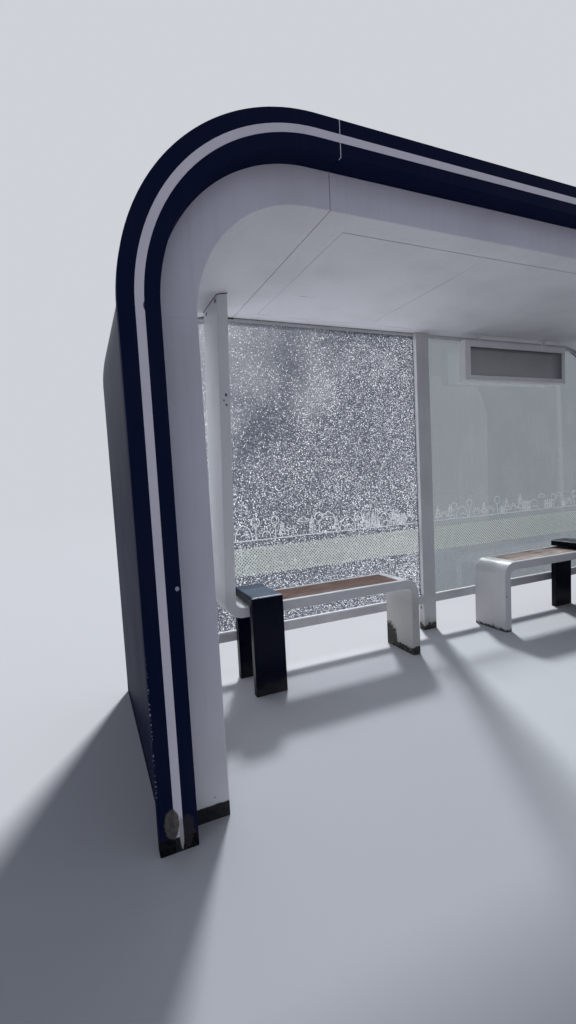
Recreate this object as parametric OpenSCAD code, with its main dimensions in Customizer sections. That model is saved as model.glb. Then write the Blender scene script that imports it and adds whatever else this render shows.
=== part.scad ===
// Two-bay open-front bus shelter with a rounded composite-clad portal frame.
// Origin: on the floor, under the middle of the footprint.
// Axes: +X along the shelter, +Y from the open front to the glazed back, +Z up.
// The clad section is drawn once, with u measured inward from the outer edge and
// v measured back from the front face, and is then swept up the ends and along the roof.

/* [Overall] */
// Length over both end fascias
shelter_length = 5152; // [4400:2:6200]
// Depth from the front fascia to the back panel
shelter_depth = 1605; // [1400:5:2000]
// Height over the roof fascia
shelter_height = 2860; // [2500:10:3200]
// Radius of the outer top corners
corner_radius = 814; // [520:2:1000]
// Straight length that the corner fascia runs on along the roof
corner_run = 107; // [50:1:220]

/* [Cladding section] */
// Height of the fascia face
fascia_face = 149; // [125:1:200]
// Fascia edge to the pale stripe
stripe_offset = 59; // [40:1:66]
// Width of the pale stripe
stripe_width = 33; // [15:1:42]
// Depth of the stripe inlay
stripe_depth = 3; // [2:0.5:5]
// Depth of the dark return under the fascia
return_depth = 104; // [70:1:160]
// Height of the white recessed band
recess_face = 158; // [100:1:220]
// Thickness of a cladding panel with its folded edge
panel_t = 20; // [14:1:30]
// How far the fascia stands proud of the outer skin
fascia_lip = 27; // [24:1:36]
// Depth of the fascia's outer return
lip_depth = 52; // [40:1:90]

/* [Roof] */
// Number of panels in the straight part of the roof deck
deck_panels = 3; // [2:1:5]
// Open joint between roof panels
deck_gap = 8; // [4:1:16]

/* [Ceiling] */
// Width of the white border round the ceiling field
border_w = 148; // [100:2:190]
// Width of the first ceiling panel from the left
field_panel_1 = 927; // [700:1:1150]
// Width of the second ceiling panel
field_panel_2 = 973; // [700:1:1150]
// Gap between ceiling panels
shadow_gap = 3; // [2:0.5:8]

/* [Back wall] */
// Face of the middle post, measured along the shelter
post_w = 134; // [90:2:180]
// Depth of the middle post
post_d = 68; // [56:2:80]
// Radius of the post's edges
post_edge = 6; // [2:1:12]
// Distance from the back panel to the front of the post
post_setback = 90; // [84:2:120]
// Glass thickness
glass_t = 10; // [8:1:12]
// Underside of the bottom rail over the floor
rail_z = 235; // [120:5:320]
// Height of the bottom rail
rail_h = 71; // [45:1:100]
// Depth of the bottom rail
rail_d = 52; // [46:1:60]
// Bevel along the bottom rail's front edge
rail_bevel = 9; // [4:1:14]
// Height of the head channel
head_h = 23; // [18:1:45]

/* [Benches] */
// Seat height
seat_z = 588; // [420:2:640]
// Thickness of the bench ribbon
ribbon_t = 68; // [50:1:80]
// Depth of the bench ribbon, front to back
ribbon_d = 340; // [290:5:420]
// Gap between the back of the ribbon and the front of the middle post
ribbon_gap = 73; // [40:1:120]
// Outer radius of the ribbon's bends
ribbon_r = 113; // [95:1:150]
// Distance from the fascia's outer edge to the fin at the seat
fin_inset = 619; // [560:1:700]
// Lean of the fin from the vertical, in degrees
fin_lean = 2; // [0:0.5:2.5]
// Distance from the middle of the shelter to the outside of the bench's foot
foot_inset = 447; // [250:1:520]
// Rim round the seat inset
rim_w = 34; // [22:1:50]
// Thickness of the seat board
board_t = 26; // [20:1:34]
// How far the seat board lies below the rim
board_sink = 3; // [0.5:0.5:6]
// Distance from the fin's bend to the seat board
board_start = 85; // [40:1:150]
// Distance from the seat board to the foot's bend
board_end = 41; // [10:1:120]

/* [Bench supports] */
// Width of the dark support
support_w = 217; // [150:1:260]
// Thickness of the dark support
support_t = 51; // [36:1:66]
// Radius of the support's top corners
support_corner = 16; // [4:1:30]
// Gap from the seat to the support's top plate
support_gap = 13; // [8:1:22]
// Distance from the back of the ribbon to the back of the support
support_setback = 9; // [4:1:30]
// Distance from the left fin's inner face to the left support
support_left = 86; // [60:1:400]
// Distance from the right fin's inner face to the right support
support_right = 242; // [60:1:400]

/* [Sign box] */
// Length of the sign box
sign_l = 1252; // [1100:2:1400]
// Height of the sign box
sign_h = 337; // [240:1:380]
// Depth of the sign box
sign_d = 79; // [60:1:110]
// How far the sign box hangs off the middle of its bay, towards the middle post
sign_shift = 176; // [0:1:190]
// Gap between the back of the sign box and the glass
sign_gap = 67; // [30:1:100]
// Border of the sign box beside its screen, towards the middle post
sign_side = 60; // [30:1:80]
// Border of the sign box beside its screen, towards the end wall
sign_far_side = 40; // [30:1:80]
// Border of the sign box over its screen
sign_head = 53; // [30:1:70]
// Border of the sign box under its screen
sign_foot = 41; // [30:1:70]
// How deep the screen lies in the sign box
screen_recess = 9; // [4:1:20]
// Gap between the ceiling and the sign box
sign_drop = 60; // [25:1:90]
// Diameter of the hanger tubes
hanger_d = 34; // [20:1:46]
// Distance from the end of the sign box to the middle of the first hanger
hanger_inset = 195; // [80:1:300]
// Distance between the two hangers
hanger_span = 810; // [500:2:900]

/* [Hidden] */
// Clearance between neighbouring pieces
fit = 0.3;
eps = 0.01;
$fn = 96;
// Whole thickness of the clad walls and roof
wall_t = fascia_face + recess_face;
mid_x = shelter_length / 2;
// Height where the legs meet the rounded corners
spring_z = shelter_height - corner_radius;
// Distance along the roof where the corner fascia stops
corner_x = corner_radius + corner_run;
// Underside of the ceiling and inner face of the end wall
ceiling_z = shelter_height - wall_t;
inner_x = wall_t;
// Back ends of the skins and linings, in front of the back panel
skin_end = shelter_depth - panel_t - fit;
// Hidden tongue that closes the joint between two panels
tongue_t = 8;
// Ceiling field inside its white border
field_x0 = corner_x + border_w;
field_x1 = shelter_length - field_x0;
field_y0 = return_depth + border_w;
field_y1 = skin_end - border_w;
// Post, rail and glass, from the front of the post backwards
post_y = shelter_depth - post_setback;
rail_inset = 4;
rail_y = post_y + rail_inset;
rail_lip = 8;
glass_y = rail_y + rail_d - rail_lip - glass_t;
glass_grip = 12;
glass_z0 = rail_z + rail_h - glass_grip;
channel_lip = 8;
// The ribbon's inner radius and its ends
ribbon_in = ribbon_r - ribbon_t;
fin_x = fin_inset;
foot_x = mid_x - foot_inset;
ribbon_back = post_y - ribbon_gap;
ribbon_front = ribbon_back - ribbon_d;
// The supports, front to back and up
support_front = ribbon_front - fit - support_t;
support_back = ribbon_back - support_setback;
support_top = seat_z + support_gap + support_t;
// The sign box, hung off the middle of the right bay
sign_z1 = ceiling_z - sign_drop;
sign_z0 = sign_z1 - sign_h;
sign_x = (mid_x + post_w / 2 + shelter_length - inner_x - sign_l) / 2 - sign_shift;
sign_y = glass_y - sign_gap - sign_d;
screen_t = 6;
flange_d = 2 * hanger_d;
flange_t = 5;

navy = [0.05, 0.08, 0.2];
white = [0.85, 0.86, 0.88];
steel = [0.74, 0.75, 0.78];
clear = [0.6, 0.7, 0.7, 0.5];
wood = [0.35, 0.18, 0.1];
grey = [0.55, 0.56, 0.58];
dark = [0.1, 0.1, 0.12];

// Part to show

// Placing and sweeping

module centred() {
  translate([-mid_x, -shelter_depth / 2, 0]) children();
}

module right_end() {
  translate([shelter_length, 0, 0]) mirror([1, 0, 0]) children();
}

module both_ends() {
  children();
  right_end() children();
}

// Sweeps a u-v section straight up an end, from z0 to z1
module up_leg(z0, z1) {
  translate([0, 0, z0]) linear_extrude(height = z1 - z0) children();
}

// Sweeps a u-v section along the roof, from x0 to x1
module along_roof(x0, x1) {
  translate([x0, 0, shelter_height])
    rotate([0, 90, 0])
      linear_extrude(height = x1 - x0) children();
}

// Sweeps a u-v section round a top corner
module round_corner() {
  translate([corner_radius, 0, spring_z])
    rotate([-90, 0, 0])
      rotate([0, 0, 180])
        rotate_extrude(angle = 90)
          translate([corner_radius, 0]) mirror([1, 0]) children();
}

// The one piece of each kind that turns the corner and runs on along the roof
module whole_corner() {
  round_corner() children();
  along_roof(corner_radius - eps, corner_x) children();
}

module rounded_rect(w, d, r) {
  translate([r, 0]) square([w - 2 * r, d]);
  translate([0, r]) square([w, d - 2 * r]);
  for (x = [r, w - r], y = [r, d - r]) translate([x, y]) circle(r = r);
}

// Sections, with u inward and v back

module fascia_section() {
  difference() {
    square([fascia_face, return_depth]);
    translate([fascia_lip - fit, panel_t])
      square([fascia_face - panel_t - fascia_lip + fit, return_depth]);
    translate([-eps, lip_depth]) square([fascia_lip + 2 * eps, return_depth]);
    translate([stripe_offset, -eps]) square([stripe_width, stripe_depth + eps]);
  }
}

module stripe_section() {
  translate([stripe_offset + fit, 0]) square([stripe_width - 2 * fit, stripe_depth - fit]);
}

module lining_section() {
  v0 = return_depth + fit;
  translate([fascia_face - panel_t, v0]) square([recess_face + panel_t, panel_t]);
  translate([wall_t - panel_t, v0]) square([panel_t, skin_end - v0]);
}

module skin_section() {
  v0 = panel_t + fit;
  translate([fascia_lip, v0]) square([panel_t, skin_end - v0]);
}

module skin_tongue_section() {
  v0 = panel_t + fit;
  translate([fascia_lip + panel_t - tongue_t, v0]) square([tongue_t, skin_end - v0]);
}

module back_section() {
  difference() {
    translate([fascia_lip, shelter_depth - panel_t]) square([wall_t - fascia_lip, panel_t]);
    translate([stripe_offset, shelter_depth - stripe_depth]) square([stripe_width, stripe_depth + eps]);
  }
}

module back_stripe_section() {
  translate([stripe_offset + fit, shelter_depth - stripe_depth + fit])
    square([stripe_width - 2 * fit, stripe_depth - fit]);
}

// Channel that holds the glass against the lining
module channel_section() {
  difference() {
    translate([wall_t + fit, glass_y - channel_lip]) square([head_h, glass_t + 2 * channel_lip]);
    translate([wall_t + head_h - glass_grip, glass_y - fit]) square([head_h, glass_t + 2 * fit]);
  }
}

// Front fascia

module leg_fascia() {
  color(navy) up_leg(0, spring_z - fit) fascia_section();
}

module corner_fascia() {
  color(navy) whole_corner() fascia_section();
}

module fascia_left_leg() leg_fascia();
module fascia_right_leg() right_end() leg_fascia();
module fascia_left_corner() corner_fascia();
module fascia_right_corner() right_end() corner_fascia();

module fascia_beam() {
  color(navy) along_roof(corner_x + fit, shelter_length - corner_x - fit) fascia_section();
}

// Pale stripe, cut at the same joints as the panel that it is set into
module stripe_run() {
  color(white) {
    both_ends() {
      up_leg(0, spring_z - fit) children();
      whole_corner() children();
    }
    along_roof(corner_x + fit, shelter_length - corner_x - fit) children();
  }
}

module fascia_stripe() stripe_run() stripe_section();
module back_stripe() stripe_run() back_stripe_section();

// White linings

module wall_lining() {
  color(white) up_leg(0, spring_z - fit) lining_section();
}

module corner_lining() {
  color(white) whole_corner() lining_section();
}

module lining_left_wall() wall_lining();
module lining_right_wall() right_end() wall_lining();
module lining_left_corner() corner_lining();
module lining_right_corner() right_end() corner_lining();

// White recessed beam face, folded round into a border for the ceiling field
module ceiling_frame() {
  color(white) difference() {
    along_roof(corner_x + fit, shelter_length - corner_x - fit) lining_section();
    translate([field_x0, field_y0, ceiling_z - panel_t])
      cube([field_x1 - field_x0, field_y1 - field_y0, 3 * panel_t]);
  }
}

// Panel with a shadow gap round its face and a hidden tongue that meets its neighbours
module ceiling_panel(x0, x1) {
  depth = field_y1 - field_y0;
  translate([x0 + shadow_gap / 2, field_y0 + shadow_gap, ceiling_z])
    cube([x1 - x0 - shadow_gap, depth - 2 * shadow_gap, panel_t]);
  translate([x0 + fit, field_y0 + fit, ceiling_z + panel_t - tongue_t])
    cube([x1 - x0 - 2 * fit, depth - 2 * fit, tongue_t]);
}

module ceiling_panels() {
  joint_2 = field_x0 + field_panel_1;
  joint_3 = joint_2 + field_panel_2;
  color(white) {
    ceiling_panel(field_x0, joint_2);
    ceiling_panel(joint_2, joint_3);
    ceiling_panel(joint_3, field_x1);
  }
}

// Outer skins

module end_wall() {
  color(navy) up_leg(0, spring_z - fit) skin_section();
}

module roof_corner() {
  color(navy) whole_corner() skin_section();
}

module end_wall_left() end_wall();
module end_wall_right() right_end() end_wall();
module roof_corner_left() roof_corner();
module roof_corner_right() right_end() roof_corner();

module roof_panel(x0, x1) {
  along_roof(x0 + deck_gap / 2, x1 - deck_gap / 2) skin_section();
  along_roof(x0 + fit, x1 - fit) skin_tongue_section();
}

module roof_deck() {
  run = (shelter_length - 2 * corner_x) / deck_panels;
  color(navy) for (i = [0 : deck_panels - 1])
    roof_panel(corner_x + i * run, corner_x + (i + 1) * run);
}

// Back panels

module back_leg() {
  color(navy) up_leg(0, spring_z - fit) back_section();
}

module back_corner() {
  color(navy) whole_corner() back_section();
}

module back_left_leg() back_leg();
module back_right_leg() right_end() back_leg();
module back_left_corner() back_corner();
module back_right_corner() right_end() back_corner();

module back_beam() {
  color(navy) along_roof(corner_x + fit, shelter_length - corner_x - fit) back_section();
}

// Back wall

module mid_post() {
  color(steel) translate([mid_x - post_w / 2, post_y, 0])
    linear_extrude(height = ceiling_z - fit) rounded_rect(post_w, post_d, post_edge);
}

// Bottom rail seen from its end, with a bevelled front edge and a slot for the glass
module rail_section() {
  difference() {
    polygon([[0, 0], [rail_d, 0], [rail_d, rail_h], [rail_bevel, rail_h], [0, rail_h - rail_bevel]]);
    translate([glass_y - rail_y - fit, rail_h - glass_grip]) square([glass_t + 2 * fit, rail_h]);
  }
}

module bottom_rails() {
  run = mid_x - post_w / 2 - inner_x - 2 * fit;
  color(steel) both_ends() translate([inner_x + fit, rail_y, rail_z])
    rotate([90, 0, 90]) linear_extrude(height = run) rail_section();
}

// Head channel of each bay, following the rounded corner
module head_rails() {
  color(steel) both_ends() {
    round_corner() channel_section();
    along_roof(corner_radius - eps, mid_x - post_w / 2 - fit) channel_section();
  }
}

// Side channels against the end linings
module jamb_channels() {
  color(steel) both_ends() up_leg(rail_z + rail_h + fit, spring_z - fit) channel_section();
}

// Left bay seen from the front, inside the linings by an inset, from z0 up and out to x1
module bay_outline(inset, z0, x1) {
  x0 = inner_x + inset;
  z1 = ceiling_z - inset;
  r = corner_radius - wall_t - inset;
  difference() {
    translate([x0, z0]) square([x1 - x0, z1 - z0]);
    difference() {
      translate([x0 - 1, z1 - r]) square([r + 1, r + 1]);
      translate([x0 + r, z1 - r]) circle(r = r, $fn = 192);
    }
  }
}

// Glass of one bay, with its outer top corner rounded to the channel
module pane() {
  inset = head_h - glass_grip + 2 * fit;
  color(clear) translate([0, glass_y + glass_t, 0]) rotate([90, 0, 0])
    linear_extrude(height = glass_t)
      bay_outline(inset, glass_z0 + fit, mid_x - post_w / 2 - fit);
}

module glass_left() pane();
module glass_right() right_end() pane();

// Benches

// What lies beside the fin and over the seat, outside a radius about the centre of their bend
module bend_side(r, run, rise) {
  slope = tan(fin_lean);
  difference() {
    polygon([[-r - r * slope, -r], [run, -r], [run, rise], [rise * slope - r, rise]]);
    difference() {
      translate([-2 * r, -2 * r]) square(2 * r);
      circle(r = r);
    }
  }
}

// Ribbon seen from the front: leaning fin, seat and rounded foot
module ribbon_outline() {
  centre_x = fin_x + ribbon_r;
  centre_z = seat_z - ribbon_t + ribbon_r;
  run = foot_x - ribbon_r - centre_x;
  translate([centre_x, centre_z]) difference() {
    bend_side(ribbon_r, run + eps, ceiling_z);
    bend_side(ribbon_in, run + ribbon_r, ceiling_z + 1);
  }
  translate([foot_x - ribbon_t, 0]) square([ribbon_t, seat_z - ribbon_r + eps]);
  translate([foot_x - ribbon_r, seat_z - ribbon_r]) intersection() {
    difference() {
      circle(r = ribbon_r);
      circle(r = ribbon_in);
    }
    square(ribbon_r + eps);
  }
}

// The ribbon, its fin cut to meet the rounded lining
module ribbon() {
  color(white) difference() {
    translate([0, ribbon_back, 0]) rotate([90, 0, 0]) linear_extrude(height = ribbon_d)
      intersection() {
        ribbon_outline();
        bay_outline(fit, 0, mid_x);
      }
    board_space(0);
  }
}

// Room for the seat board, less a clearance all round
module board_space(clear) {
  x0 = fin_x + ribbon_r + board_start + clear;
  x1 = foot_x - ribbon_r - board_end - clear;
  y0 = ribbon_front + rim_w + clear;
  y1 = ribbon_back - rim_w - clear;
  z0 = seat_z - board_t + clear;
  z1 = clear > 0 ? seat_z - board_sink : seat_z + eps;
  translate([x0, y0, z0]) cube([x1 - x0, y1 - y0, z1 - z0]);
}

module board() {
  color(wood) board_space(fit);
}

// Front view of a support, standing on the floor with rounded top corners
module support_front_view() {
  difference() {
    square([support_w, support_top]);
    for (side = [0, 1]) translate([side * support_w, support_top]) mirror([side, 0]) difference() {
      translate([-1, -support_corner]) square(support_corner + 1);
      translate([support_corner, -support_corner]) circle(r = support_corner);
    }
  }
}

// Front leg and top plate of the dark support, in one piece
module support(gap_from_fin) {
  run = support_back - support_front;
  color(navy) translate([fin_x + ribbon_t + gap_from_fin, support_front, 0]) difference() {
    translate([0, run, 0]) rotate([90, 0, 0]) linear_extrude(height = run) support_front_view();
    translate([-1, support_t, -1]) cube([support_w + 2, run, support_top - support_t + 1]);
  }
}

module rear_leg(gap_from_fin) {
  color(navy) translate([fin_x + ribbon_t + gap_from_fin, support_back - support_t, 0])
    cube([support_w, support_t, seat_z - ribbon_t - fit]);
}

module bench_left_ribbon() ribbon();
module bench_right_ribbon() right_end() ribbon();
module bench_left_board() board();
module bench_right_board() right_end() board();
module bench_left_support() support(support_left);
module bench_right_support() right_end() support(support_right);
module bench_left_rear_leg() rear_leg(support_left);
module bench_right_rear_leg() right_end() rear_leg(support_right);

// Sign box

// Room for the screen in the sign box, from a depth behind its front
module screen_space(clear, y0, y1) {
  x0 = sign_x + sign_side + clear;
  z0 = sign_z0 + sign_foot + clear;
  w = sign_l - sign_side - sign_far_side - 2 * clear;
  h = sign_h - sign_head - sign_foot - 2 * clear;
  translate([x0, sign_y + y0, z0]) cube([w, y1 - y0, h]);
}

module sign_box() {
  color(grey) difference() {
    translate([sign_x, sign_y, sign_z0]) cube([sign_l, sign_d, sign_h]);
    screen_space(0, -1, screen_recess + screen_t + fit);
  }
}

module sign_screen() {
  color(dark) screen_space(fit, screen_recess, screen_recess + screen_t);
}

// Tubes that carry the sign box, each with a flange under the ceiling
module sign_hangers() {
  drop = sign_drop - 2 * fit;
  color(grey) for (x = [hanger_inset, hanger_inset + hanger_span])
    translate([sign_x + x, sign_y + sign_d / 2, sign_z1 + fit]) {
      cylinder(d = hanger_d, h = drop);
      translate([0, 0, drop - flange_t]) cylinder(d = flange_d, h = flange_t);
    }
}

centred() fascia_left_leg();
centred() fascia_left_corner();
centred() fascia_beam();
centred() fascia_right_corner();
centred() fascia_right_leg();
centred() fascia_stripe();
centred() lining_left_wall();
centred() lining_left_corner();
centred() ceiling_frame();
centred() lining_right_corner();
centred() lining_right_wall();
centred() ceiling_panels();
centred() end_wall_left();
centred() end_wall_right();
centred() roof_corner_left();
centred() roof_corner_right();
centred() roof_deck();
centred() back_left_leg();
centred() back_left_corner();
centred() back_beam();
centred() back_right_corner();
centred() back_right_leg();
centred() back_stripe();
centred() mid_post();
centred() head_rails();
centred() jamb_channels();
centred() bottom_rails();
centred() glass_left();
centred() glass_right();
centred() bench_left_ribbon();
centred() bench_right_ribbon();
centred() bench_left_board();
centred() bench_right_board();
centred() bench_left_support();
centred() bench_right_support();
centred() bench_left_rear_leg();
centred() bench_right_rear_leg();
centred() sign_box();
centred() sign_screen();
centred() sign_hangers();
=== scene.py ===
# %% [markdown]
# # A bus shelter, dressed
# The metal, glass and wood of a two-bay shelter get their finishes here. The exact shape comes from the
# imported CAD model, and this file adds what a paint shop, a glazier and some years outdoors add to it.
# Every length below is in metres, apart from the lens, and in the same frame as the model: X along the
# shelter, Y from the open front to the glass at the back, Z up from the floor.

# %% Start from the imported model
import math
import random
import bpy
import bmesh
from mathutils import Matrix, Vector


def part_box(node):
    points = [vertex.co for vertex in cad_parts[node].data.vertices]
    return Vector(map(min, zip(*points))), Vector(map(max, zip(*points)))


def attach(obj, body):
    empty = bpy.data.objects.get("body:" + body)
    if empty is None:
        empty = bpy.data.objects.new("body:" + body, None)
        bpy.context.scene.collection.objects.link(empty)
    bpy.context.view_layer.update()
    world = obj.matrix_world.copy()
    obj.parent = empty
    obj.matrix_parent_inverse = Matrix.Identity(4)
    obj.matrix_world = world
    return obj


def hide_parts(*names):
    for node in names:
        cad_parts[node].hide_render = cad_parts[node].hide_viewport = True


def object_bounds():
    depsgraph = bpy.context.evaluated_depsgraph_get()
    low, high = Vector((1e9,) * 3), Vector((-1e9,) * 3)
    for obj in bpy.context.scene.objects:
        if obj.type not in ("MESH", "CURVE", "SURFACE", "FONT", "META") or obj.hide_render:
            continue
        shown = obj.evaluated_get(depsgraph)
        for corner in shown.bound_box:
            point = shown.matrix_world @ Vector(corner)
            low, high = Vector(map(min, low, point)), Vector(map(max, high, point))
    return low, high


MM = 0.001
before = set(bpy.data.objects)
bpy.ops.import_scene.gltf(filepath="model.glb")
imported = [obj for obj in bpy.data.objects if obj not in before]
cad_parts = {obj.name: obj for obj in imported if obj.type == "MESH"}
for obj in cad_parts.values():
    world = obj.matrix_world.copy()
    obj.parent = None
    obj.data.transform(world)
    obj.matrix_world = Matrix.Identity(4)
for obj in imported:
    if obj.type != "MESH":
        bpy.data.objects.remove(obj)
cad_box = [list(corner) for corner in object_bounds()]
print("model box", cad_box)

# %% [markdown]
# ## Where the camera stands
# The photograph was taken from just outside the left end, a little under eye height, looking along the
# shelter with a wide lens. A camera could be turned by hand until the edges lie right, but a pinhole
# camera was fitted to the straight edges of the real one instead, so the numbers are simply its place,
# its turn and its lens.

# %% Camera
SENSOR_MM = 36.0
LENS_MM = 16.745
CAMERA_PLACE = (-2.7475, -2.5799, 1.4214)
CAMERA_TURNS = (85.5497, 3.0445, -23.7229)

lens = bpy.data.cameras.new("photo_camera")
lens.sensor_width = SENSOR_MM
lens.sensor_fit = "AUTO"
lens.lens = LENS_MM
lens.clip_end = 200.0
camera = bpy.data.objects.new("photo_camera", lens)
camera.location = CAMERA_PLACE
camera.rotation_euler = [math.radians(turn) for turn in CAMERA_TURNS]
bpy.context.scene.collection.objects.link(camera)
bpy.context.scene.camera = camera
bpy.context.scene.view_settings.view_transform = "Standard"
print("camera at", tuple(camera.location))

# %% [markdown]
# ## Shader nodes in one line each
# A finish is a small chain of nodes: where a point is, a noise that says how worn it is there, and a mix
# of two colours. Such a chain can be wired by hand in the node editor. These helpers make it readable as
# text instead, so that a finish is a few lines of sums. All of them work from the object's own
# coordinates, in metres, so a scratch or a grain has the same size on every piece.

# %% Nodes and sums
def node(tree, kind, settings=None, inputs=None):
    """Adds a shader node. An input is a number, a colour or the output of another node."""
    made = tree.nodes.new(kind)
    for key, value in (settings or {}).items():
        setattr(made, key, value)
    for key, value in (inputs or {}).items():
        if isinstance(value, bpy.types.NodeSocket):
            tree.links.new(value, made.inputs[key])
        else:
            made.inputs[key].default_value = value
    return made


def join(tree, source, target):
    tree.links.new(source, target)


def reckon(tree, how, first, *others):
    """The same step of arithmetic on two or more numbers or outputs, from left to right."""
    for other in others:
        first = node(tree, "ShaderNodeMath", {"operation": how}, {0: first, 1: other}).outputs[0]
    return first


def plus(tree, *parts):
    return reckon(tree, "ADD", *parts)


def minus(tree, *parts):
    return reckon(tree, "SUBTRACT", *parts)


def times(tree, *parts):
    return reckon(tree, "MULTIPLY", *parts)


def most(tree, *parts):
    return reckon(tree, "MAXIMUM", *parts)


def inverse(tree, value):
    """0 where the value is 1, and 1 where it is 0."""
    return minus(tree, 1.0, value)

# %% Where a point is, and noise
def spot(tree):
    """Where a point is, in metres."""
    return node(tree, "ShaderNodeTexCoord").outputs["Object"]


def axis(tree, name):
    """One coordinate of the point, such as Z for its height over the floor."""
    return node(tree, "ShaderNodeSeparateXYZ", None, {0: spot(tree)}).outputs[name]


def ramp(tree, value, low, high):
    """0 at low, 1 at high, and straight between them. Where low is the greater one, it runs downwards."""
    limits = {"Value": value, "From Min": low, "From Max": high}
    return node(tree, "ShaderNodeMapRange", None, limits).outputs[0]


def stretch_of(tree, name, rise, fall):
    """1 along a stretch of one axis, given by where it rises from 0 and, from its far end, where it falls."""
    return times(tree, ramp(tree, axis(tree, name), *rise), ramp(tree, axis(tree, name), *fall))


def cloud(tree, scale, detail=3.0, stretch=(1.0, 1.0, 1.0), shift=(0.0, 0.0, 0.0)):
    """Soft noise from 0 to 1, with about that many blotches a metre."""
    where = node(tree, "ShaderNodeMapping", None, {0: spot(tree), "Scale": stretch, "Location": shift})
    wanted = {"Vector": where.outputs[0], "Scale": scale, "Detail": detail}
    return node(tree, "ShaderNodeTexNoise", None, wanted).outputs[0]


def facing(tree, name, low, high):
    """How squarely a face looks along an axis: 0 where that part of its normal is low, 1 where it is high."""
    normal = node(tree, "ShaderNodeNewGeometry").outputs["True Normal"]
    return ramp(tree, node(tree, "ShaderNodeSeparateXYZ", None, {0: normal}).outputs[name], low, high)


def facing_up(tree, low=0.7, high=0.95):
    """1 on faces that look at the sky, where dust settles."""
    return facing(tree, "Z", low, high)


# %% A finish, its colours and its relief
def mixed(tree, amount, a, b):
    """Colour a where amount is 0 and colour b where it is 1."""
    a, b = [(*c, 1.0) if isinstance(c, tuple) and len(c) == 3 else c for c in (a, b)]
    return node(tree, "ShaderNodeMix", {"data_type": "RGBA"}, {0: amount, 6: a, 7: b}).outputs[2]


def finish(name, colour, roughness, gloss=0.5):
    """A new material with one plain Principled shader, to be built upon."""
    made = bpy.data.materials.new(name)
    made.use_nodes = True
    shader = made.node_tree.nodes["Principled BSDF"]
    shader.inputs["Base Color"].default_value = (*colour, 1.0)
    shader.inputs["Roughness"].default_value = roughness
    shader.inputs["Specular IOR Level"].default_value = gloss
    return made, made.node_tree, shader


def relief(tree, shader, height, depth, strength=1.0):
    """Lets a height of 0 to 1 stand depth metres proud in the light."""
    made = node(tree, "ShaderNodeBump", None, {"Height": height, "Distance": depth, "Strength": strength})
    join(tree, made.outputs[0], shader.inputs["Normal"])


def tell(*made):
    """Prints the name of each material and how many nodes it took."""
    print("finish:", ", ".join(f"{one.name} ({len(one.node_tree.nodes)} nodes)" for one in made))


# %% [markdown]
# ## Light and floor
# The real shelter has the sun high behind it, so its open front and its ceiling are in shade and the
# posts throw their shadows towards the viewer. A sky picture would light it in the same way, but it would
# also show itself in the paint and the glass. So a broad, soft lamp stands on the side of the sun,
# without glare, and an even sky lights the rest. The sunlit floor throws light up at the ceiling. For that
# bounced light only, the floor's colour is painted darker in front, and darker still to the right, as
# painted shade, so less light comes up from there.

# %% Floor
SKY_SEEN = (0.62, 0.64, 0.68)
FLOOR_SEEN = (0.42, 0.43, 0.45)
BOUNCE_BEHIND = (0.90, 0.89, 0.87)
SHADED_BOUNCE_IN_FRONT = (0.40, 0.40, 0.41)
SHADED_BOUNCE_FAR_RIGHT = (0.22, 0.225, 0.23)
FLOOR_SIZE = 80.0
FLOOR_LEVEL = -0.5 * MM
FADE_FROM, FADE_TO = 5.0, 22.0


def seen_directly(tree):
    """1 for what the camera sees itself, in a mirror or through glass, and 0 for light that bounces."""
    path = node(tree, "ShaderNodeLightPath")
    rays = [path.outputs[kind] for kind in ("Is Camera Ray", "Is Glossy Ray", "Is Transmission Ray")]
    return most(tree, *rays)


floor_finish, tree, shader = finish("studio_floor", (0.6, 0.6, 0.6), 0.95, 0.1)
in_front = inverse(tree, ramp(tree, axis(tree, "Y"), -2.6, -0.6))
to_the_right = ramp(tree, axis(tree, "X"), -1.2, 1.6)
# Painted shade on the floor: for bounced light only, its colour is darker in front and darker still to the
# right.
bounce = mixed(tree, most(tree, in_front, to_the_right), BOUNCE_BEHIND, SHADED_BOUNCE_IN_FRONT)
bounce = mixed(tree, ramp(tree, axis(tree, "X"), 0.2, 1.8), bounce, SHADED_BOUNCE_FAR_RIGHT)
join(tree, mixed(tree, seen_directly(tree), bounce, FLOOR_SEEN), shader.inputs["Base Color"])
away = node(tree, "ShaderNodeVectorMath", {"operation": "LENGTH"}, {0: spot(tree)}).outputs["Value"]
glow = node(tree, "ShaderNodeEmission", None, {"Color": (*SKY_SEEN, 1.0)})
fading = times(tree, ramp(tree, away, FADE_FROM, FADE_TO), seen_directly(tree))
blend = node(tree, "ShaderNodeMixShader", None, {0: fading, 1: shader.outputs[0], 2: glow.outputs[0]})
join(tree, blend.outputs[0], tree.nodes["Material Output"].inputs["Surface"])
bpy.ops.mesh.primitive_plane_add(size=FLOOR_SIZE, location=(0.0, 0.0, FLOOR_LEVEL))
floor = bpy.context.object
floor.name = "studio_floor"
floor.data.materials.append(floor_finish)
tell(floor_finish)

# %% Sky and lamp
SKY_LIGHT = (0.33, 0.35, 0.41)
SUN_STRENGTH = 5.2
SUN_SOFTNESS = math.radians(7.0)
TOWARDS_SUN = Vector((0.33, 0.665, 0.67))

sky = bpy.data.worlds.new("studio_sky")
bpy.context.scene.world = sky
sky.use_nodes = True
tree = sky.node_tree
background = tree.nodes["Background"]
join(tree, mixed(tree, seen_directly(tree), SKY_LIGHT, SKY_SEEN), background.inputs["Color"])
background.inputs["Strength"].default_value = 1.0

sun = bpy.data.lights.new("soft_sun", "SUN")
sun.energy = SUN_STRENGTH
sun.angle = SUN_SOFTNESS
sun_stand = bpy.data.objects.new("soft_sun", sun)
sun_stand.rotation_euler = TOWARDS_SUN.to_track_quat("Z", "Y").to_euler()
bpy.context.scene.collection.objects.link(sun_stand)
print("one soft lamp, from", [round(v, 2) for v in TOWARDS_SUN])

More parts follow.
